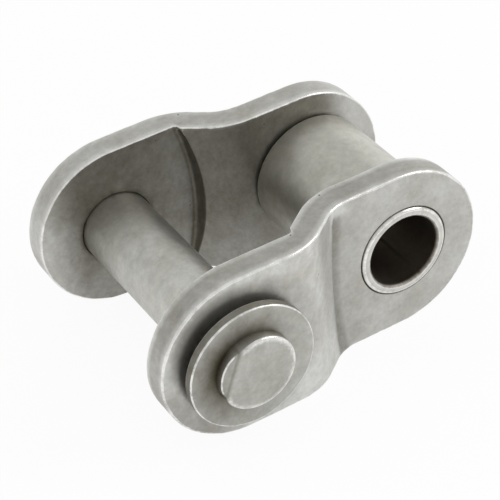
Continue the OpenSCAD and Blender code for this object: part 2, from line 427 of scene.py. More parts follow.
def steel(name, tone, colours, roughness, cloud, dent_depth, stain_share):
    """A bare steel: cloudy tone, thin stains, burnished edges painted bright as highlights, dirt and
    painted shade in corners, small dents and pits.
    """
    material = bpy.data.materials.new(name)
    material.use_nodes = True
    tree = material.node_tree
    shader = tree.nodes["Principled BSDF"]
    place = add_node(tree, "ShaderNodeTexCoord").outputs["Object"]
    wear_and_highlight = add_node(tree, "ShaderNodeAttribute", attribute_name=WEAR_AND_HIGHLIGHT).outputs["Fac"]
    grime_and_shade = add_node(tree, "ShaderNodeAttribute", attribute_name=GRIME_AND_SHADE).outputs["Fac"]
    clouds = add_node(tree, "ShaderNodeTexNoise", {
        "Vector": place, "Scale": 1 / cloud, "Detail": 5.0, "Roughness": 0.6}).outputs["Fac"]
    dents = add_node(tree, "ShaderNodeTexNoise", {
        "Vector": place, "Scale": 1 / DENT_SIZE, "Detail": 5.0, "Roughness": 0.75}).outputs["Fac"]
    pits = small_pits(tree, place)

    # Stains follow the clouds, and the tone changes a little from dent to dent. Sockets 6 and 7 of a
    # colour mix are its two colours, and output 2 is the mixed colour
    stains = add_node(tree, "ShaderNodeMapRange", {
        "Value": clouds, "From Min": 0.42, "From Max": 0.75, "To Max": stain_share}).outputs["Result"]
    stained = add_node(tree, "ShaderNodeMix", {
        0: stains, 6: (*tone, 1), 7: (*colours.stain, 1)}, data_type="RGBA").outputs[2]
    mottle = add_node(tree, "ShaderNodeMapRange", {
        "Value": dents, "From Min": 0.3, "From Max": 0.7, "To Min": 0.84, "To Max": 1.1}).outputs["Result"]
    mottled = add_node(tree, "ShaderNodeMix", {
        0: 1.0, 6: stained, 7: mottle}, data_type="RGBA", blend_type="MULTIPLY").outputs[2]

    # Burnished edges, painted bright as highlights, are broken up by the dents
    broken = add_node(tree, "ShaderNodeMapRange", {
        "Value": dents, "From Min": 0.34, "From Max": 0.56, "To Min": 0.25}).outputs["Result"]
    worn_and_highlit = add_node(tree, "ShaderNodeMath", {0: wear_and_highlight, 1: broken}, operation="MULTIPLY").outputs[0]
    bright = add_node(tree, "ShaderNodeMix", {
        0: worn_and_highlit, 6: mottled, 7: (*colours.worn_and_highlit, 1)}, data_type="RGBA").outputs[2]

    # Dirt and painted shade are a little patchy, are gone from burnished edges, and fill the pits
    patchy = add_node(tree, "ShaderNodeMapRange", {
        "Value": dents, "From Min": 0.3, "From Max": 0.65,
        "To Min": 1.06, "To Max": 0.95}).outputs["Result"]
    dirt_and_shade = add_node(tree, "ShaderNodeMath", {0: grime_and_shade, 1: patchy}, operation="MULTIPLY").outputs[0]
    rubbed = add_node(tree, "ShaderNodeMath", {0: 1.0, 1: worn_and_highlit}, operation="SUBTRACT").outputs[0]
    dirt_and_shade = add_node(tree, "ShaderNodeMath", {0: dirt_and_shade, 1: rubbed}, operation="MULTIPLY").outputs[0]
    dirt_and_shade = add_node(tree, "ShaderNodeMath", {0: dirt_and_shade, 1: pits}, operation="MAXIMUM").outputs[0]
    dirty = add_node(tree, "ShaderNodeMix", {
        0: dirt_and_shade, 6: bright, 7: (*colours.dirt_and_shade, 1)}, data_type="RGBA").outputs[2]
    tree.links.new(dirty, shader.inputs["Base Color"])

    # Burnished edges are smoother than the rest, and dirt with its painted shade is rougher
    rough = add_node(tree, "ShaderNodeMapRange", {
        "Value": clouds, "From Min": 0.3, "From Max": 0.7,
        "To Min": roughness - 0.04, "To Max": roughness + 0.06}).outputs["Result"]
    for where, change in ((worn_and_highlit, -0.12), (dirt_and_shade, 0.2)):
        rough = add_node(tree, "ShaderNodeMath", {
            0: where, 1: change, 2: rough}, operation="MULTIPLY_ADD").outputs[0]
    tree.links.new(rough, shader.inputs["Roughness"])

    hollow = add_node(tree, "ShaderNodeMath", {
        0: pits, 1: -1.0, 2: dents}, operation="MULTIPLY_ADD").outputs[0]
    bump = add_node(tree, "ShaderNodeBump", {"Height": hollow, "Strength": 0.6, "Distance": dent_depth})
    tree.links.new(bump.outputs["Normal"], shader.inputs["Normal"])
    shader.inputs["Metallic"].default_value = 1.0
    return material


def tumbled_plate_steel(colours):
    # Blanked and bent carbon steel, tumbled: even soft grey, worn edges painted bright as highlights, faint
    # brown stains
    return steel("tumbled_carbon_steel", colours.plate, colours,
                 roughness=0.34, cloud=9 * MM, dent_depth=0.06 * MM, stain_share=0.35)


def tumbled_roller_steel(colours):
    # Turned, hardened and tumbled steel: like the plates, a little greyer and duller
    return steel("tumbled_hardened_steel", colours.roller, colours,
                 roughness=0.38, cloud=8 * MM, dent_depth=0.045 * MM, stain_share=0.2)


def burnished_bush_steel(colours):
    # Ground and burnished steel: a bright ring with sharp highlights
    return steel("burnished_ground_steel", colours.bush, colours,
                 roughness=0.22, cloud=5 * MM, dent_depth=0.015 * MM, stain_share=0.1)


def shade_darkened_bore_steel(colours):
    # Dark, dull steel in the bore: painted shade deep inside the bore
    return steel("bore_steel_darkened_as_shade", colours.bore, colours,
                 roughness=0.5, cloud=5 * MM, dent_depth=0.03 * MM, stain_share=0.0)


def tumbled_pin_steel(colours):
    # Ground steel, then tumbled: an even soft grey with little grain
    return steel("tumbled_ground_steel", colours.pin, colours,
                 roughness=0.34, cloud=8 * MM, dent_depth=0.03 * MM, stain_share=0.2)


def stamped_washer_steel(colours):
    # Washer stamped from sheet: a duller grey
    return steel("stamped_sheet_steel", colours.washer, colours,
                 roughness=0.34, cloud=6 * MM, dent_depth=0.03 * MM, stain_share=0.3)


def drawn_wire_steel(colours):
    # Drawn half-round wire: smooth, with a soft shine
    return steel("drawn_wire_steel", colours.split_pin, colours,
                 roughness=0.34, cloud=4 * MM, dent_depth=0.015 * MM, stain_share=0.15)


# Side plates

class CoinedEdge:
    """A shallow arc pressed into a face: a flat floor inside a circle, and a wall at its edge."""

    def __init__(self, middle_x, radius, facing, lean, fillet):
        self.radius = radius
        self.facing = facing
        self.fillet = fillet
        self.x = middle_x - facing * radius * math.cos(lean)
        self.z = facing * radius * math.sin(lean)

    def past(self, x, z):
        """How far a point lies past the wall."""
        return math.hypot(x - self.x, z - self.z) - self.radius

    def share(self, x, z):
        """0 on the floor, 1 from the top of the wall on, and a fillet between."""
        rise = 1 + self.past(x, z) / self.fillet
        return min(1.0, max(0.0, rise)) ** COINED_STEEPNESS

    def lines(self, reach):
        """Arcs along the fillet and the wall, between these heights above and below the axes."""
        heights = [reach * (i / LINE_STEPS - 1) for i in range(2 * LINE_STEPS + 1)]
        arcs = []
        for share in COINED_ARCS:
            radius = self.radius - self.fillet * (1 - share)
            arc = []
            for z in heights:
                across = math.sqrt(radius ** 2 - (z - self.z) ** 2)
                arc.append((self.x + self.facing * across, z))
            arcs.append(arc)
        return arcs

    def clear(self, lines, reach):
        """The stretches of these lines that lie past the wall, or above or below its ends."""
        gap = 0.3 * MM
        kept = []
        for line in lines:
            run = []
            for x, z in line:
                if self.past(x, z) > gap or abs(z) > reach + gap:
                    run.append((x, z))
                else:
                    kept.append(run)
                    run = []
            kept.append(run)
        return [run for run in kept if len(run) > 1]


class PlateForm:
    """Where the faces of the far plate lie, as heights along Y over its side view."""

    def __init__(self, sizes):
        low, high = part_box("far_plate")
        self.end_radius = (high.z - low.z) / 2
        self.pin_end_x = low.x + self.end_radius
        self.bush_end_x = high.x - self.end_radius
        self.pin_x = round_node("pin")[0]
        self.pin_radius = bpy.context.scene.offset_link_pin.radius
        self.bush_x, self.bush_radius = round_node("bush")
        self.washer_radius = round_node("pin_washer")[1]
        self.thickness = sizes.thickness
        self.wide_in = high.y - sizes.thickness
        self.wide_out = high.y
        self.narrow_in = low.y
        self.narrow_out = low.y + sizes.thickness
        self.first_bend = sizes.first_bend
        self.second_bend = sizes.second_bend
        self.angle = sizes.crank_angle
        self.sine = math.sin(sizes.crank_angle)
        self.cosine = math.cos(sizes.crank_angle)
        radii = sizes.first_bend + sizes.second_bend + sizes.thickness
        ramp = (self.wide_in - self.narrow_in - radii * (1 - self.cosine)) / self.sine
        self.first = self.pin_x + sizes.crank_start
        self.second = self.first + radii * self.sine + ramp * self.cosine
        self.pocket = CoinedEdge(
            self.first + sizes.pocket_bite, sizes.pocket_radius, 1,
            sizes.coining_lean, sizes.pocket_fillet)
        self.crease = CoinedEdge(
            self.second - sizes.crease_bite, sizes.crease_radius, -1,
            sizes.coining_lean, sizes.crease_fillet)
        self.crease_fade = sizes.crease_fade

    def crank(self, x, high, first_radius, low, second_radius):
        """Height of a face that bends down from high to low with these two radii."""
        ramp_start = self.first + first_radius * self.sine
        if x <= self.first:
            return high
        if x >= self.second:
            return low
        if x <= ramp_start:
            return high - first_radius + math.sqrt(first_radius ** 2 - (x - self.first) ** 2)
        if x >= self.second - second_radius * self.sine:
            return low + second_radius - math.sqrt(second_radius ** 2 - (x - self.second) ** 2)
        return high - first_radius * (1 - self.cosine) - (x - ramp_start) * self.sine / self.cosine

    def bent_outer(self, x):
        """The outer face as bent, before it is coined."""
        first_radius = self.first_bend + self.thickness
        return self.crank(x, self.wide_out, first_radius, self.narrow_out, self.second_bend)

    def bent_inner(self, x):
        """The inner face as bent, before it is coined."""
        second_radius = self.second_bend + self.thickness
        return self.crank(x, self.wide_in, self.first_bend, self.narrow_in, second_radius)

    def outer(self, x, z):
        """The outer face, with the coined edge sunk to the level of the narrow end."""
        bent = self.bent_outer(x)
        fade = 1 - smooth(self.crease_fade - CREASE_RUN, self.crease_fade, abs(z))
        sunk = (1 - self.crease.share(x, z)) * fade
        return bent - (bent - self.narrow_out) * sunk

    def inner(self, x, z):
        """The inner face, with the coined pocket sunk to the level of the wide end."""
        bent = self.bent_inner(x)
        return self.wide_in + (bent - self.wide_in) * self.pocket.share(x, z)

    def inset(self, x, z):
        """How far a point of the side view lies inside the outline."""
        off_line = x - min(max(x, self.pin_end_x), self.bush_end_x)
        return self.end_radius - math.hypot(off_line, z)

    def stretch(self, x):
        """How much longer a step into the plate is along Y than square to its face."""
        step = 0.05 * MM
        slope = (self.bent_outer(x + step) - self.bent_outer(x - step)) / (2 * step)
        return math.sqrt(1 + slope ** 2)

    def bend_lines(self):
        """Places along X of the rulings of all four bends and of the ramp between."""
        closest = 0.2 * MM
        turns = [self.angle * i / BEND_STEPS for i in range(BEND_STEPS + 1)]
        places = [self.first + radius * math.sin(a) for a in turns
                  for radius in (self.first_bend, self.first_bend + self.thickness)]
        places += [self.second - radius * math.sin(a) for a in turns
                   for radius in (self.second_bend, self.second_bend + self.thickness)]
        kept = []
        for x in sorted(places):
            if not kept or x - kept[-1] > closest:
                kept.append(x)
        return kept

    def stations(self):
        """The outline as (centre x, outward x, outward z), anticlockwise from the bush end."""
        half = TURN_STEPS // 2
        spread = [-math.pi / 2 + math.pi * i / half for i in range(half + 1)]
        steps = range(1, STRAIGHT_STEPS)
        before = [self.pin_end_x + (self.first - self.pin_end_x) * i / STRAIGHT_STEPS for i in steps]
        after = [self.second + (self.bush_end_x - self.second) * i / STRAIGHT_STEPS for i in steps]
        straight = before + self.bend_lines() + after
        bush_end = [(self.bush_end_x, math.cos(a), math.sin(a)) for a in spread]
        pin_end = [(self.pin_end_x, -math.cos(a), -math.sin(a)) for a in spread]
        top = [(x, 0.0, 1.0) for x in reversed(straight)]
        bottom = [(x, 0.0, -1.0) for x in straight]
        return bush_end + top + pin_end + bottom


def plate_edge(form, stations, radii, depth_share, inset_share, face, sign):
    """A loop of the tumbled edge: so much of its radius below a face and inside the outline."""
    loop = []
    for (x, nx, nz), radius in zip(stations, radii):
        reach = form.end_radius - radius * inset_share
        px = x + reach * nx
        pz = reach * nz
        loop.append((px, face(px, pz) + sign * radius * depth_share * form.stretch(px), pz))
    return loop


def hole_edge(centre, radius, lip, face, sign):
    """Loops from a face into a hole, round the lip of the hole."""
    loops = []
    for turn in EDGE_TURNS:
        ring = circle(centre, radius + lip * (1 - math.sin(turn)))
        loops.append([(x, face(x, z) + sign * lip * (1 - math.cos(turn)), z) for x, z in ring])
    return loops


def face_grid(form, margin, holes):
    """Evenly spread points on a plate's two flat stretches, clear of its edges and holes."""
    points = []
    columns = int((form.bush_end_x - form.pin_end_x + 2 * form.end_radius) / FACE_SPACING)
    rows = int(2 * form.end_radius / FACE_SPACING)
    for i in range(columns + 1):
        x = form.pin_end_x - form.end_radius + i * FACE_SPACING
        if form.first - FACE_SPACING / 2 < x < form.second + FACE_SPACING / 2:
            continue
        for j in range(rows + 1):
            z = -form.end_radius + (j + 0.5 * (i % 2)) * FACE_SPACING
            inside = form.inset(x, z) > margin
            clear = all(math.hypot(x - hx, z) > radius + FACE_SPACING / 2 for hx, radius in holes)
            if inside and clear:
                points.append((x, z))
    return points


def ruled_lines(form, outline, stations):
    """Lines across a face along the rulings of its bends, from one edge to the other."""
    ends = {}
    for (x, z), (_, nx, nz) in zip(outline, stations):
        if nx == 0:
            ends.setdefault(round(x / WELD), {})[nz > 0] = z
    lines = []
    for x in form.bend_lines():
        bottom, top = ends[round(x / WELD)][False], ends[round(x / WELD)][True]
        lines.append([(x, bottom + (top - bottom) * i / LINE_STEPS) for i in range(LINE_STEPS + 1)])
    return lines


def build_plate(form, sizes, side):
    """Mesh of one plate; side is 1 for the far plate and -1 for the near one."""
    bm = bmesh.new()
    stations = form.stations()
    unevenness = []
    for x, nx, nz in stations:
        spot = Vector((x + nx * form.end_radius, side * UNEVEN_Y, nz * form.end_radius))
        unevenness.append(1 + sum(share * noise.noise(spot / wave) for share, wave in UNEVENNESS))
    rounding = [(1 - math.cos(a), 1 - math.sin(a)) for a in EDGE_TURNS]
    outer_radii = [sizes.edge_radius * share for share in unevenness]
    inner_radii = [sizes.inner_edge_radius * share for share in unevenness]
    outer_edge = [plate_edge(form, stations, outer_radii, d, i, form.outer, -1) for d, i in rounding]
    inner_edge = [plate_edge(form, stations, inner_radii, d, i, form.inner, 1) for d, i in rounding]
    wall = []
    for share in (0.25, 0.5, 0.75):
        pairs = zip(outer_edge[-1], inner_edge[-1])
        wall.append([Vector(a).lerp(Vector(b), share) for a, b in pairs])
    skin(bm, outer_edge + wall + inner_edge[::-1])

    holes = [(form.pin_x, form.pin_radius + sizes.pin_clearance), (form.bush_x, form.bush_radius)]
    for centre, radius in holes:
        outer_lip = hole_edge(centre, radius, sizes.hole_lip, form.outer, -1)
        inner_lip = hole_edge(centre, radius, sizes.hole_lip, form.inner, 1)
        skin(bm, outer_lip + inner_lip[::-1])

    rims = [circle(centre, radius + sizes.hole_lip) for centre, radius in holes]
    collars = [circle(centre, radius + 1.5 * sizes.hole_lip) for centre, radius in holes]
    collars = [ring + ring[:1] for ring in collars]
    margin = 2 * sizes.edge_radius
    grid = face_grid(form, margin, [(x, r + sizes.hole_lip) for x, r in holes])
    coined = ((form.outer, outer_edge[0], form.crease, sizes.crease_fade - CREASE_MARGIN),
              (form.inner, inner_edge[0], form.pocket, form.end_radius - margin))
    for face, edge, coining, reach in coined:
        outline = [(x, z) for x, _, z in edge]
        rulings = coining.clear(ruled_lines(form, outline, stations), reach)
        creases = collars + rulings + coining.lines(reach)
        face_over(bm, outline, rims, creases, grid, lambda x, z: (x, face(x, z), z))

    for vert in bm.verts:
        vert.co.y *= side
    return bm


def plate_grime_and_shade(form, film_and_shade, rim_film):
    """Dirt and painted shade on a plate: films on both faces, a stain and painted shade along the crease,
    and painted shade in the pocket, round the pin and round the bush.

    Each factor is the most dirt and painted shade that lies there, and each smooth step the stretch over
    which it grows.
    """

    def pin_end(x):
        """1 at the round end past the pin, 0 from just before the pin on."""
        return 1 - smooth(form.pin_x - 18 * MM, form.pin_x - 6 * MM, x)

    def inner_face(x, z):
        """An oil film with painted shade, darker high up than low down, thinner towards both ends, with
        painted shade in the pocket's corner and round the pin.
        """
        bush_end = smooth(form.bush_x + 3 * MM, form.bush_x + 13 * MM, x)
        low = 1 - smooth(-16 * MM, -2 * MM, z)
        past = form.pocket.past(x, z)
        # Painted shade: less film low down and towards both ends, so the face is darker high up in the
        # middle
        even = 0.76 - max(0.6 * pin_end(x), 0.5 * bush_end, 0.18 * low)
        if past < 0:
            even -= 0.13 * smooth(form.first, form.first + 4 * MM, x)
        # Painted shade in the corner of the pocket
        pocket = 0.86 * smooth(-2.9 * MM, -0.9 * MM, past) * (1 - smooth(0, 0.09 * MM, past))
        # Painted shade round the pin
        from_pin = max(0.0, math.hypot(x - form.pin_x, z) - form.pin_radius)
        round_pin = math.exp(-from_pin / (3 * MM))
        bare = 1 - smooth(0, 0.3 * MM, form.inset(x, z))
        return film_and_shade * max(even, pocket, round_pin) * (1 - bare)

    def outer_face(x, z):
        """A thin film, more at the narrow end, a stain with a painted shade line along the crease, and
        painted shade beside the washer, low by the pin and in the groove round the bush.
        """
        past = form.crease.past(x, z)
        on_floor = 1 - smooth(0, 0.1 * MM, past)
        # A painted shade line in the crease, and a stain in the bands beside it
        line = 0.4 * math.exp(-(past / (0.6 * MM)) ** 2)
        band = 0.62 * smooth(-5 * MM, -1.4 * MM, past) * on_floor
        wide = 0.36 * smooth(-14 * MM, -5 * MM, past) * on_floor
        crease = max(line, band, wide) * (1 - smooth(15 * MM, 18.5 * MM, z))
        # Painted shade low by the pin and beside the washer
        pin_side = 1 - smooth(form.pin_x - 10 * MM, form.pin_x + 4 * MM, x)
        low = 0.45 * pin_side * (1 - smooth(-9 * MM, 5 * MM, z))
        from_washer = math.hypot(x - form.pin_x, z) - form.washer_radius
        beside_washer = 0.36 * (1 - smooth(0, 8 * MM, from_washer)) * smooth(0, 8 * MM, x - form.pin_x)
        narrow = 0.25 * smooth(form.second - 4 * MM, form.second + 2 * MM, x)
        # Painted shade in the groove round the bush
        from_bush = max(0.0, math.hypot(x - form.bush_x, z) - form.bush_radius)
        groove = 0.7 * (1 - smooth(0.1 * MM, 0.35 * MM, from_bush))
        return max(0.06, narrow, 0.14 * pin_end(x), low, beside_washer, crease, groove)

    def amount(place):
        """The dirt and painted shade of the face or rim on which a place lies, from its level between the
        two faces.
        """
        outside = form.outer(place.x, place.z)
        level = (outside - abs(place.y)) / (outside - form.inner(place.x, place.z))
        inner = smooth(0.55, 0.95, level) * inner_face(place.x, place.z)
        outer = (1 - smooth(0.05, 0.4, level)) * outer_face(place.x, place.z)
        rim = rim_film * (0.6 + 0.4 * smooth(-10 * MM, 10 * MM, place.z))
        rim *= smooth(0.1, 0.25, level)
        rim *= 1 - smooth(0.75, 0.9, level)
        return max(inner, outer, rim)

    return amount


def plate_rubbed(form):
    """Where a plate's edges are rubbed and painted bright as a highlight: not in the coined arcs, and not
    at the holes.
    """

    def share(place):
        """1 where a place is rubbed, 0 elsewhere."""
        x, z = place.x, place.z
        at_arc = min(abs(form.pocket.past(x, z)), abs(form.crease.past(x, z))) < 1.5 * MM
        inside = abs(z) < form.end_radius - 2 * MM
        at_pin = math.hypot(x - form.pin_x, z) < form.pin_radius + MM
        at_bush = math.hypot(x - form.bush_x, z) < form.bush_radius + MM
        return 0.0 if at_pin or at_bush or (at_arc and inside) else 1.0

    return share


class OFFSETLINK_OT_side_plates(Operator):
    """Dress the two cranked side plates"""
    bl_idname = "offset_link.side_plates"
    bl_label = "Side Plates"

    def execute(self, context):
        sizes = context.scene.offset_link_plates
        form = PlateForm(sizes)
        finish = tumbled_plate_steel(context.scene.offset_link_steel)
        # Side, film with painted shade on the inner face, and film on the rim: the far plate's inner face,
        # inside the link, is the dirty and shaded one
        plates = (("near_plate", -1, 0.15, 0.45), ("far_plate", 1, 1.0, 0.3))
        for node, side, film_and_shade, rim_film in plates:
            bm = build_plate(form, sizes, side)
            add_piece("tumbled_" + node, bm, node, "side_frame", "plate_steel", finish,
                      grime_and_shade=plate_grime_and_shade(form, film_and_shade, rim_film), rubbed=plate_rubbed(form))
        return {"FINISHED"}


# Bush and roller

class OFFSETLINK_OT_bush(Operator):
    """Dress the bush, with its rounded mouths, and its bore darkened as painted shade"""
    bl_idname = "offset_link.bush"
    bl_label = "Bush"

    def execute(self, context):
        sizes = context.scene.offset_link_turned
        colours = context.scene.offset_link_steel
        radius = round_node("bush")[1]
        bore = radius - sizes.bush_wall
        half_step = math.pi / TURN_STEPS
        bm = tube("bush", bore, sizes.bush_mouth, sizes.bush_rim)
        # The second steel, that of the bore, darkened as painted shade, reaches most of the way round the
        # mouth
        for face in bm.faces:
            middle = face.calc_center_median()
            if math.hypot(middle.x, middle.z) < bore + 0.8 * sizes.bush_mouth:
                face.material_index = 1

        def off_seam(place):
            """Angle between a place and the seam."""
            return abs(math.atan2(place.z, place.x) - sizes.seam_angle)

        def from_seat(place):
            """How far a place lies inside the plate's hole."""
            return radius - math.hypot(place.x, place.z)

        # A bush rolled from strip has a seam along its bore
        for vert in bm.verts:
            in_bore = math.hypot(vert.co.x, vert.co.z) < bore + sizes.bush_mouth
            if in_bore and off_seam(vert.co) < half_step:
                vert.co.x *= 1 + sizes.seam_depth / bore
                vert.co.z *= 1 + sizes.seam_depth / bore

        def groove(place):
            """Dirt in the seam, painted shade in the groove between the rim of the bush and the plate, and
            a lighter painted shade over the outer part of the rim.
            """
            in_bore = from_seat(place) > sizes.bush_wall - 0.3 * sizes.bush_mouth
            if in_bore and off_seam(place) < 3 * half_step:
                return 0.8
            # Painted shade in the groove at the plate, and lighter over the outer part of the rim
            caked = 0.8 * (1 - smooth(0.05 * MM, 0.25 * MM, from_seat(place)))
            return max(caked, 0.18 * (1 - smooth(0.6 * MM, 1.3 * MM, from_seat(place))))

        def rim(place):
            """Only the rim is rubbed and painted bright as a highlight, and not its groove."""
            out_of_bore = 1 - smooth(sizes.bush_wall - MM, sizes.bush_wall, from_seat(place))
            return smooth(0.1 * MM, 0.35 * MM, from_seat(place)) * out_of_bore

        add_piece("burnished_bush", bm, "bush", "side_frame", "bush_steel",
                  burnished_bush_steel(colours), shade_darkened_bore_steel(colours), grime_and_shade=groove, rubbed=rim)
        return {"FINISHED"}


class OFFSETLINK_OT_roller(Operator):
    """Dress the roller that turns on the bush"""
    bl_idname = "offset_link.roller"
    bl_label = "Roller"

    def execute(self, context):
        sizes = context.scene.offset_link_turned
        bore = round_node("bush")[1] + sizes.roller_clearance
        bm = tube("roller", bore, sizes.roller_bore_edge, sizes.roller_edge)
        add_piece("tumbled_roller", bm, "roller", "roller", "roller_steel",
                  tumbled_roller_steel(context.scene.offset_link_steel))
        return {"FINISHED"}


# Pin, washer and split pin

class PinForm:
    """The spread end of the pin: its end face as heights along Y over the pin's end view."""

    def __init__(self, sizes):
        low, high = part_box("pin")
        self.sizes = sizes
        self.x, self.end_radius = round_node("pin")
        self.end_y = low.y
        self.far_y = high.y
        self.seat_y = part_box("pin_washer")[0].y

    def reach(self, angle):
        """Radius of the spread end, drawn in at both ends of the flat."""
        # Each nick's depth, its side of the flat, and its width along the rim away from the flat and on it
        nicks = (
            (self.sizes.upper_nick, -1, math.radians(28), math.radians(14)),
            (self.sizes.lower_nick, 1, math.radians(9), math.radians(7)),
        )
        radius = self.end_radius
        for depth, side, face_width, flat_width in nicks:
            from_flat = side * math.remainder(angle - self.sizes.flat_angle, 2 * math.pi)
            off = from_flat - math.acos(self.sizes.flat_reach / (self.end_radius - depth))
            width = face_width if off > 0 else flat_width
            radius -= depth * math.exp(-(off / width) ** 2)
        return radius

    def ring(self, inset):
        """Points round the spread end, so far inside its outline, as (x, z)."""
        points = []
        for i in range(TURN_STEPS):
            angle = 2 * math.pi * i / TURN_STEPS
            radius = self.reach(angle) * (1 - inset / self.end_radius)
            points.append((self.x + radius * math.cos(angle), radius * math.sin(angle)))
        return points

    def spread(self, x, z):
        """Distance of a point from the axis, as on an end with no nicks."""
        angle = math.atan2(z, x - self.x)
        return math.hypot(x - self.x, z) * self.end_radius / self.reach(angle)

    def rounded_face(self, radius, rim, dome):
        """Height of a slightly domed face with a rounded rim, at a distance from the axis."""
        flat = self.end_radius - rim
        if radius <= flat:
            return dome * (radius / flat) ** 2
        over = min(radius - flat, rim)
        return dome + (rim - math.sqrt(max(0.0, rim ** 2 - over ** 2))) * (1 - dome / rim)

    def past_flat(self, x, z):
        """How far a point lies past the wall of the flat."""
        angle = self.sizes.flat_angle
        return (x - self.x) * math.cos(angle) + z * math.sin(angle) - self.sizes.flat_reach

    def height(self, x, z):
        """Height of the end face, with the flat sunk into it."""
        radius = self.spread(x, z)
        face = self.rounded_face(radius, self.sizes.rim, self.sizes.dome)
        ledge = self.sizes.flat_depth + self.rounded_face(radius, self.sizes.flat_rim, 0.0)
        wall = self.sizes.flat_wall
        share = smooth(-wall / 2, wall / 2, self.past_flat(x, z))
        return self.end_y + face + (ledge - face) * share

    def grime_and_shade(self, place):
        """Dirt and painted shade on the pin: a film over its spread end, painted shade at its foot, along
        the wall of the flat and on the flat, and darker towards the far end of the shank.
        """
        # Darker towards the far end of the shank
        if place.y > self.seat_y - NICK_END / 2:
            return 0.52 * (place.y - self.seat_y) / (self.far_y - self.seat_y)
        # Painted shade at the foot of the spread end, along the wall of the flat and on the flat
        foot = smooth(0.25, 0.8, (place.y - self.end_y) / (self.seat_y - self.end_y))
        corner = math.exp(-(self.past_flat(place.x, place.z) / (0.5 * MM)) ** 2)
        ledge = 0.48 * smooth(0, 0.4 * MM, self.past_flat(place.x, place.z))
        return max(0.36, 0.9 * foot, 0.6 * corner, ledge)

    def rubbed(self, place):
        """The wall of the flat is neither rubbed nor painted bright as a highlight."""
        return smooth(0.4 * MM, 0.9 * MM, abs(self.past_flat(place.x, place.z)))

    def creases(self):
        """Rings round both rims, and lines along the wall of the flat."""
        lines = []
        for rim in (self.sizes.rim, self.sizes.flat_rim):
            for i in range(1, EDGE_STEPS + 1):
                turn = math.pi / 2 * i / (EDGE_STEPS + 1)
                ring = self.ring(rim * (1 - math.sin(turn)))
                lines.append(ring + ring[:1])
        angle = self.sizes.flat_angle
        across = Vector((math.cos(angle), math.sin(angle)))
        along = Vector((-math.sin(angle), math.cos(angle)))
        # The lines along the wall stop just inside the rim
        inside = 0.985 * self.end_radius
        line_steps = 20
        wall_steps = 5
        for i in range(wall_steps + 1):
            reach = self.sizes.flat_reach + self.sizes.flat_wall * (i / wall_steps - 0.5)
            half = math.sqrt(self.end_radius ** 2 - reach ** 2)
            middle = Vector((self.x, 0)) + across * reach
            points = [middle + along * half * (j / line_steps - 1) for j in range(2 * line_steps + 1)]
            lines.append([tuple(p) for p in points if self.spread(*p) < inside])
        return lines

    def grid(self):
        """Evenly spread points on the end face."""
        step = 0.5 * MM
        count = int(self.end_radius / step)
        spots = [(i * step, (j + 0.5 * (i % 2)) * step) for i in range(-count, count + 1)
                 for j in range(-count, count + 1)]
        inner = self.end_radius - self.sizes.rim - step / 2
        wall = self.sizes.flat_wall
        return [(self.x + x, z) for x, z in spots
                if self.spread(self.x + x, z) < inner and abs(self.past_flat(self.x + x, z)) > wall]


class OFFSETLINK_OT_pin(Operator):
    """Dress the pin, with its spread end and the flat beside it"""
    bl_idname = "offset_link.pin"
    bl_label = "Pin"

    def execute(self, context):
        sizes = context.scene.offset_link_pin
        form = PinForm(sizes)
        bm = bmesh.new()
        outline = form.ring(0)
        face_over(bm, outline, [], form.creases(), form.grid(), lambda x, z: (x, form.height(x, z), z))
        rim = [Vector((x, form.height(x, z), z)) for x, z in outline]
        shank = [
            (form.end_radius, form.seat_y - NICK_END),
            (form.end_radius, form.seat_y),
            (sizes.radius, form.seat_y),
            (sizes.radius, form.far_y - sizes.chamfer),
            (sizes.radius - sizes.chamfer, form.far_y),
        ]
        loops = skin(bm, [rim] + turned(form.x, shank))
        bm.faces.new(loops[-1])
        # The edges of the far chamfer are a little rounded
        far_rings = []
        for edge in bm.edges:
            start, end = (vert.co.y for vert in edge.verts)
            level = abs(start - end) < WELD
            if len(edge.link_faces) == 2 and level and min(start, end) > form.seat_y + MM:
                far_rings.append(edge)
        bmesh.ops.bevel(bm, geom=far_rings, offset=0.2 * MM, segments=3, profile=0.5,
                        affect="EDGES", clamp_overlap=True)
        add_piece("tumbled_pin", bm, "pin", "pin_set", "pin_steel",
                  tumbled_pin_steel(context.scene.offset_link_steel), grime_and_shade=form.grime_and_shade,
                  rubbed=form.rubbed)
        return {"FINISHED"}


def washer_painted_shade(centre_x, radius, stub_radius):
    """Painted shade on the washer: darker towards the end of the link, more on its rim and round the pin.
    """

    def amount(place):
        """The painted shade at a place, with most at the foot of the pin on its upper left."""
        x, z = place.x - centre_x, place.z
        angle = math.atan2(z, x)
        # Painted shade, darker towards the end of the link, and a painted shadow round the foot of the pin
        film_and_shade = 0.18 - 0.14 * math.cos(angle)
        foot = 0.8 * math.exp(-max(0.0, math.hypot(x, z) - stub_radius) / (1.5 * MM))
        foot *= 0.55 + 0.45 * math.cos(angle - math.radians(135))
        rim = 0.55 * smooth(radius - 0.1 * MM, radius, math.hypot(x, z))
        return max(rim, film_and_shade + foot)

    return amount


class OFFSETLINK_OT_washer(Operator):
    """Dress the washer under the spread end of the pin"""
    bl_idname = "offset_link.washer"
    bl_label = "Washer"

    def execute(self, context):
        sizes = context.scene.offset_link_turned
        middle, radius = round_node("pin_washer")
        bore = context.scene.offset_link_pin.radius
        bm = tube("pin_washer", bore, sizes.washer_bore_edge, sizes.washer_edge)
        add_piece("stamped_washer", bm, "pin_washer", "pin_set", "washer_steel",
                  stamped_washer_steel(context.scene.offset_link_steel),
                  grime_and_shade=washer_painted_shade(middle, radius, bore))
        return {"FINISHED"}


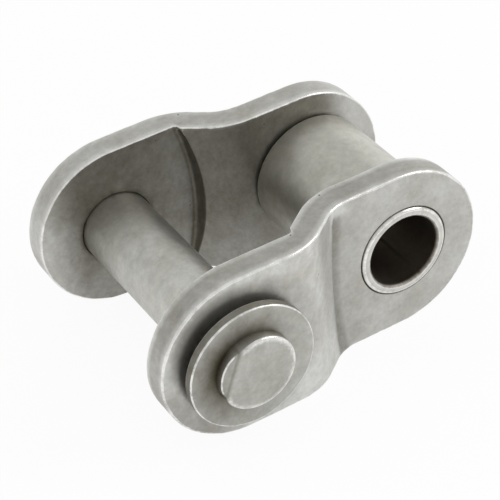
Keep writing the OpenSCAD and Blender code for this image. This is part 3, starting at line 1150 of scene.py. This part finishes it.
def split_pin_path(sizes, pin_radius):
    """The flat side of the wire, from one leg's tip round the eye to the other's: (x, z, heading)."""
    half = sizes.slit / 2
    eye_x = pin_radius + sizes.neck + sizes.eye_radius + sizes.radius
    curve = sizes.radius + sizes.bend_radius - half
    curve_x = -pin_radius - sizes.neck
    steps = 16
    upper = []
    for i in range(steps + 1):
        turn = sizes.bend_angle * (1 - i / steps)
        upper.append((curve_x - curve * math.sin(turn), half + curve * (1 - math.cos(turn)), -turn))
    # The neck turns up by the angle at which it meets the eye's circle head on
    turn_up = math.acos((half + sizes.neck_radius) / (sizes.eye_radius + sizes.neck_radius))
    neck_x = eye_x - (sizes.eye_radius + sizes.neck_radius) * math.sin(turn_up)
    for i in range(steps // 2 + 1):
        turn = turn_up * 2 * i / steps
        upper.append((neck_x + sizes.neck_radius * math.sin(turn),
                      half + sizes.neck_radius * (1 - math.cos(turn)), turn))
    to_top = [turn_up * (1 - i / steps) for i in range(1, steps + 1)]
    to_end = [-math.pi / 2 * i / steps for i in range(1, steps + 1)]
    for turn in to_top + to_end:
        upper.append((eye_x - sizes.eye_radius * math.sin(turn), sizes.eye_radius * math.cos(turn), turn))
    lower = [(x, -z, -math.pi - heading) for x, z, heading in reversed(upper[:-1])]
    return upper + lower


def half_round(sizes):
    """Section of the wire as (out from the flat side, along Y), with rounded corners."""
    corner = sizes.corner
    half = sizes.slit / 2
    inner = sizes.radius - corner
    corner_y = math.sqrt(inner ** 2 - (corner + half) ** 2)
    lean = math.atan2(corner + half, corner_y)
    steps = 24
    section = []
    for i in range(steps + 1):
        turn = lean + (math.pi - 2 * lean) * i / steps
        section.append((sizes.radius * math.sin(turn) - half, sizes.radius * math.cos(turn)))
    for side in (-1, 1):
        for i in range(1, EDGE_STEPS + 1):
            share = i / EDGE_STEPS if side < 0 else 1 - (i - 1) / EDGE_STEPS
            turn = lean - (lean + math.pi / 2) * share
            section.append((corner + corner * math.sin(turn), side * (corner_y + corner * math.cos(turn))))
    return section


class OFFSETLINK_OT_split_pin(Operator):
    """Dress the split pin that keeps the pin in the far plate"""
    bl_idname = "offset_link.split_pin"
    bl_label = "Split Pin"

    def execute(self, context):
        sizes = context.scene.offset_link_split_pin
        pin_radius = context.scene.offset_link_pin.radius
        low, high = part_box("split_pin")
        pin_x = round_node("pin_washer")[0]
        y = (low.y + high.y) / 2
        rows = []
        for x, z, heading in split_pin_path(sizes, pin_radius):
            out_x, out_z = -math.sin(heading), math.cos(heading)
            rows.append([(pin_x + x + out * out_x, y + along, z + out * out_z)
                         for out, along in half_round(sizes)])
        bm = bmesh.new()
        loops = skin(bm, rows)
        bm.faces.new(loops[0])
        bm.faces.new(loops[-1])
        add_piece("drawn_split_pin", bm, "split_pin", "pin_set", "split_pin_steel",
                  drawn_wire_steel(context.scene.offset_link_steel))
        return {"FINISHED"}


# Stage

def white_floor(look):
    # Matt white card: it looks plain white to the eye and in the steel, and still takes a soft shadow
    material = bpy.data.materials.new("matt_white_card")
    material.use_nodes = True
    tree = material.node_tree
    tree.nodes.clear()
    ray = add_node(tree, "ShaderNodeLightPath").outputs
    mirrored = add_node(tree, "ShaderNodeMath", {
        0: ray["Is Glossy Ray"], 1: ray["Is Transmission Ray"]}, operation="MAXIMUM").outputs[0]
    mirrored = add_node(tree, "ShaderNodeMath", {
        0: mirrored, 1: FLOOR_MIRRORED}, operation="MULTIPLY").outputs[0]
    direct = add_node(tree, "ShaderNodeMath", {
        0: ray["Is Camera Ray"], 1: FLOOR_SEEN}, operation="MULTIPLY").outputs[0]
    share = add_node(tree, "ShaderNodeMath", {0: mirrored, 1: direct}, operation="MAXIMUM").outputs[0]
    matt = add_node(tree, "ShaderNodeBsdfDiffuse", {"Color": (*look.floor, 1)}).outputs[0]
    white = add_node(tree, "ShaderNodeEmission", {"Color": (*look.floor, 1), "Strength": 1.0}).outputs[0]
    mixed = add_node(tree, "ShaderNodeMixShader", {0: share, 1: matt, 2: white}).outputs[0]
    add_node(tree, "ShaderNodeOutputMaterial", {"Surface": mixed})
    return material


class OFFSETLINK_OT_stage(Operator):
    """Set the white floor, the soft light and the camera"""
    bl_idname = "offset_link.stage"
    bl_label = "Stage"

    def execute(self, context):
        scene = context.scene
        look = scene.offset_link_stage
        self.lay_floor(scene, look)
        self.light(scene, look)
        self.place_camera(scene, look)
        scene.view_settings.view_transform = "Standard"
        return {"FINISHED"}

    def lay_floor(self, scene, look):
        """A wide white floor under the lower edges of the plates."""
        reach = 3.0
        corners = [(-reach, -reach), (reach, -reach), (reach, reach), (-reach, reach)]
        mesh = bpy.data.meshes.new("floor")
        mesh.from_pydata([(x, y, CAD_BOX[0].z) for x, y in corners], [], [(0, 1, 2, 3)])
        mesh.materials.append(white_floor(look))
        floor = bpy.data.objects.new("floor", mesh)
        scene.collection.objects.link(floor)

    def light(self, scene, look):
        """An even pale room, and two soft lamps that face the link."""
        world = bpy.data.worlds.new("soft_room")
        world.use_nodes = True
        world.node_tree.nodes["Background"].inputs["Color"].default_value = (*look.surroundings, 1)
        scene.world = world
        lamps = (("key", look.key_power, look.key_place), ("back", look.back_power, look.back_place))
        for name, power, place in lamps:
            data = bpy.data.lights.new(name, "AREA")
            data.energy = power
            data.size = look.lamp_size
            lamp = bpy.data.objects.new(name, data)
            scene.collection.objects.link(lamp)
            lamp.location = place
            lamp.rotation_mode = "QUATERNION"
            lamp.rotation_quaternion = lamp.location.to_track_quat("Z", "Y")

    def place_camera(self, scene, look):
        """A camera at the photograph's viewing angle."""
        data = bpy.data.cameras.new("camera")
        data.lens = look.lens
        camera = bpy.data.objects.new("camera", data)
        scene.collection.objects.link(camera)
        turn = Matrix.Rotation(look.camera_azimuth, 4, "Z")
        tilt = Matrix.Rotation(math.pi / 2 - look.camera_elevation, 4, "X")
        roll = Matrix.Rotation(look.camera_roll, 4, "Z")
        camera.matrix_world = Matrix.Translation(look.camera_place) @ turn @ tilt @ roll
        data.clip_start = 10 * MM
        scene.camera = camera


class OFFSETLINK_PT_sidebar(Panel):
    """Lists the pieces of the offset link"""
    bl_idname = "OFFSETLINK_PT_sidebar"
    bl_label = "Offset Link"
    bl_space_type = "VIEW_3D"
    bl_region_type = "UI"
    bl_category = "Offset Link"

    def draw(self, context):
        for operator in OPERATORS:
            self.layout.operator(operator.bl_idname)


GROUPS = {
    "offset_link_plates": PlateSizes,
    "offset_link_turned": TurnedSizes,
    "offset_link_pin": PinSizes,
    "offset_link_split_pin": SplitPinSizes,
    "offset_link_steel": SteelColours,
    "offset_link_stage": StageLook,
}
OPERATORS = (
    OFFSETLINK_OT_side_plates,
    OFFSETLINK_OT_bush,
    OFFSETLINK_OT_roller,
    OFFSETLINK_OT_pin,
    OFFSETLINK_OT_washer,
    OFFSETLINK_OT_split_pin,
    OFFSETLINK_OT_stage,
)
CLASSES = (*GROUPS.values(), *OPERATORS, OFFSETLINK_PT_sidebar)


def register():
    """Makes the classes known to Blender, and gives each scene the sizes and colours."""
    for cls in CLASSES:
        bpy.utils.register_class(cls)
    for name, group in GROUPS.items():
        setattr(bpy.types.Scene, name, PointerProperty(type=group))


def unregister():
    """Takes back what register made."""
    for name in GROUPS:
        delattr(bpy.types.Scene, name)
    for cls in reversed(CLASSES):
        bpy.utils.unregister_class(cls)


def main():
    """Dresses the link piece by piece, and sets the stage."""
    register()
    bpy.ops.offset_link.side_plates()
    bpy.ops.offset_link.bush()
    bpy.ops.offset_link.roller()
    bpy.ops.offset_link.pin()
    bpy.ops.offset_link.washer()
    bpy.ops.offset_link.split_pin()
    bpy.ops.offset_link.stage()


if __name__ == "__main__":
    main()
